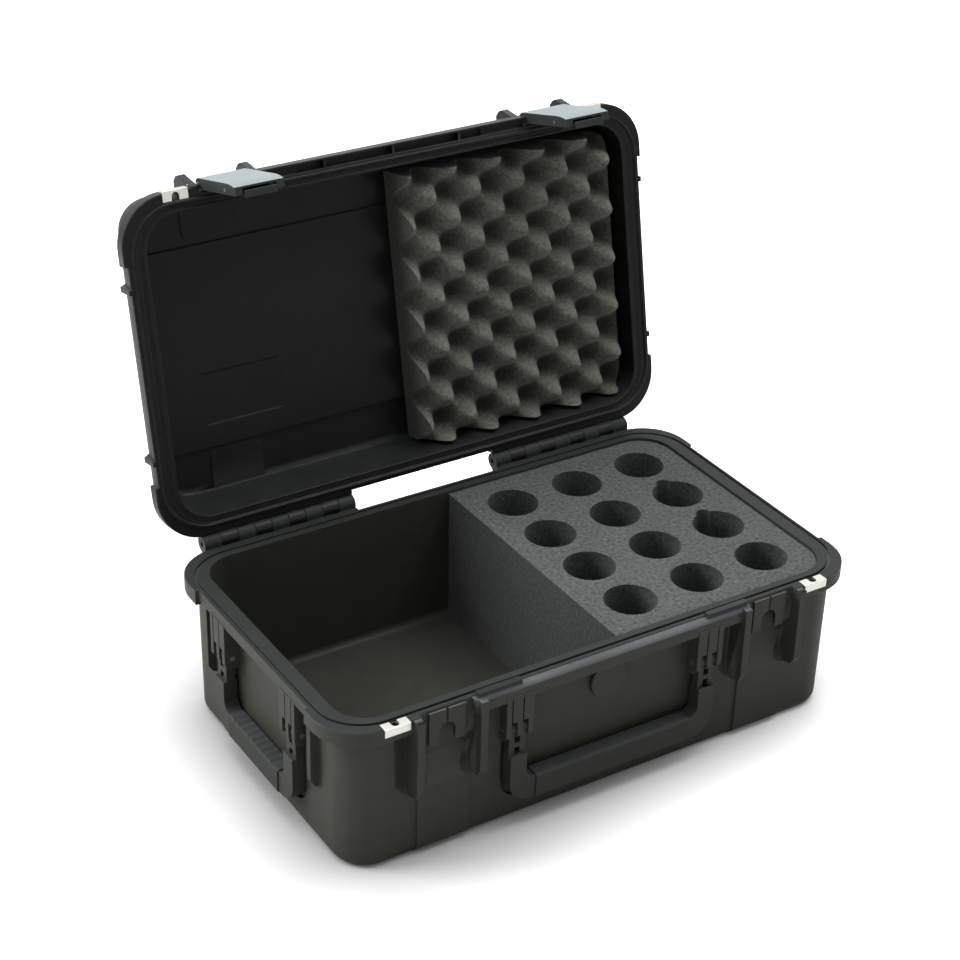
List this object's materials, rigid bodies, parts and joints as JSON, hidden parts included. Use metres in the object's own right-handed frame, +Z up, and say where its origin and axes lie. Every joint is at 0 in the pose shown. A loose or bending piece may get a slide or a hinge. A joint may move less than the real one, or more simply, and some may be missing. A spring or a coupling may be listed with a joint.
{
  "type": "microphone case",
  "caption": "Hard rectangular case, lid open on rear hinges, draw latches, folding handles, and foam with upright round holes beside an open storage compartment.",
  "frame": {"origin": "middle of the base's footprint, on the floor", "axes": "+X along the long side, to the right seen from the front; the front with the latches and main handle faces -Y; +Z up"},
  "size_m": [0.557, 0.4565, 0.504],
  "materials": {
    "shell": "moulded, fine texture, olive black",
    "seal": "soft black",
    "foam": "open-cell foam, charcoal",
    "vent": "moulded black",
    "steel": "plain steel",
    "stainless": "bright stainless",
    "latch": "moulded, light blue-grey",
    "trigger": "moulded, blue-grey",
    "handle": "moulded black",
    "grip": "ribbed soft black"
  },
  "bodies": {
    "base": {"base_shell": "shell", "mic_foam_block": "foam", "foam_base_pad": "foam", "vent_body": "vent", "vent_cap": "vent", "vent_nut": "vent", "hinge_pin_left": "steel", "hinge_pin_right": "steel", "padlock_plate_base_left": "stainless", "padlock_plate_base_right": "stainless", "front_handle_pins": "steel", "left_handle_pins": "steel", "right_handle_pins": "steel"},
    "lid": {"lid_shell": "shell", "lid_seal": "seal", "lid_convoluted_foam": "foam", "padlock_plate_lid_left": "stainless", "padlock_plate_lid_right": "stainless", "latch_pin_left": "steel", "latch_pin_right": "steel"},
    "front_handle": {"front_handle_core": "handle", "front_handle_grip": "grip"},
    "left_handle": {"left_handle_core": "handle", "left_handle_grip": "grip"},
    "right_handle": {"right_handle_core": "handle", "right_handle_grip": "grip"},
    "latch_left": {"latch_body_left": "latch", "trigger_pin_left": "steel", "trigger_spring_left": "steel"},
    "trigger_left": {"latch_trigger_left": "trigger"},
    "latch_right": {"latch_body_right": "latch", "trigger_pin_right": "steel", "trigger_spring_right": "steel"},
    "trigger_right": {"latch_trigger_right": "trigger"}
  },
  "joints": [
    {"name": "lid_hinge", "type": "hinge", "parent": "base", "child": "lid", "pos_m": [0, 0.17, 0.1547], "axis": [1, 0, 0], "range_deg": [0, 101.3]},
    {"name": "latch_hinge_left", "type": "hinge", "parent": "lid", "child": "latch_left", "pos_m": [-0.172, 0.24055, 0.4807], "axis": [-1, 0, 0], "range_deg": [-4, 96]},
    {"name": "trigger_hinge_left", "type": "hinge", "parent": "latch_left", "child": "trigger_left", "pos_m": [-0.172, 0.18627, 0.49451], "axis": [-1, 0, 0], "range_deg": [0, 14], "stiffness_Nm_per_rad": 0.15, "springref_deg": -5.73},
    {"name": "latch_hinge_right", "type": "hinge", "parent": "lid", "child": "latch_right", "pos_m": [0.172, 0.24055, 0.4807], "axis": [-1, 0, 0], "range_deg": [-4, 96]},
    {"name": "trigger_hinge_right", "type": "hinge", "parent": "latch_right", "child": "trigger_right", "pos_m": [0.172, 0.18627, 0.49451], "axis": [-1, 0, 0], "range_deg": [0, 14], "stiffness_Nm_per_rad": 0.15, "springref_deg": -5.73},
    {"name": "front_handle_hinge", "type": "hinge", "parent": "base", "child": "front_handle", "pos_m": [0, -0.1586, 0.105], "axis": [-1, 0, 0], "range_deg": [0, 95]},
    {"name": "left_handle_hinge", "type": "hinge", "parent": "base", "child": "left_handle", "pos_m": [-0.2676, 0, 0.105], "axis": [0, 1, 0], "range_deg": [0, 95]},
    {"name": "right_handle_hinge", "type": "hinge", "parent": "base", "child": "right_handle", "pos_m": [0.2676, 0, 0.105], "axis": [0, -1, 0], "range_deg": [0, 95]}
  ]
}
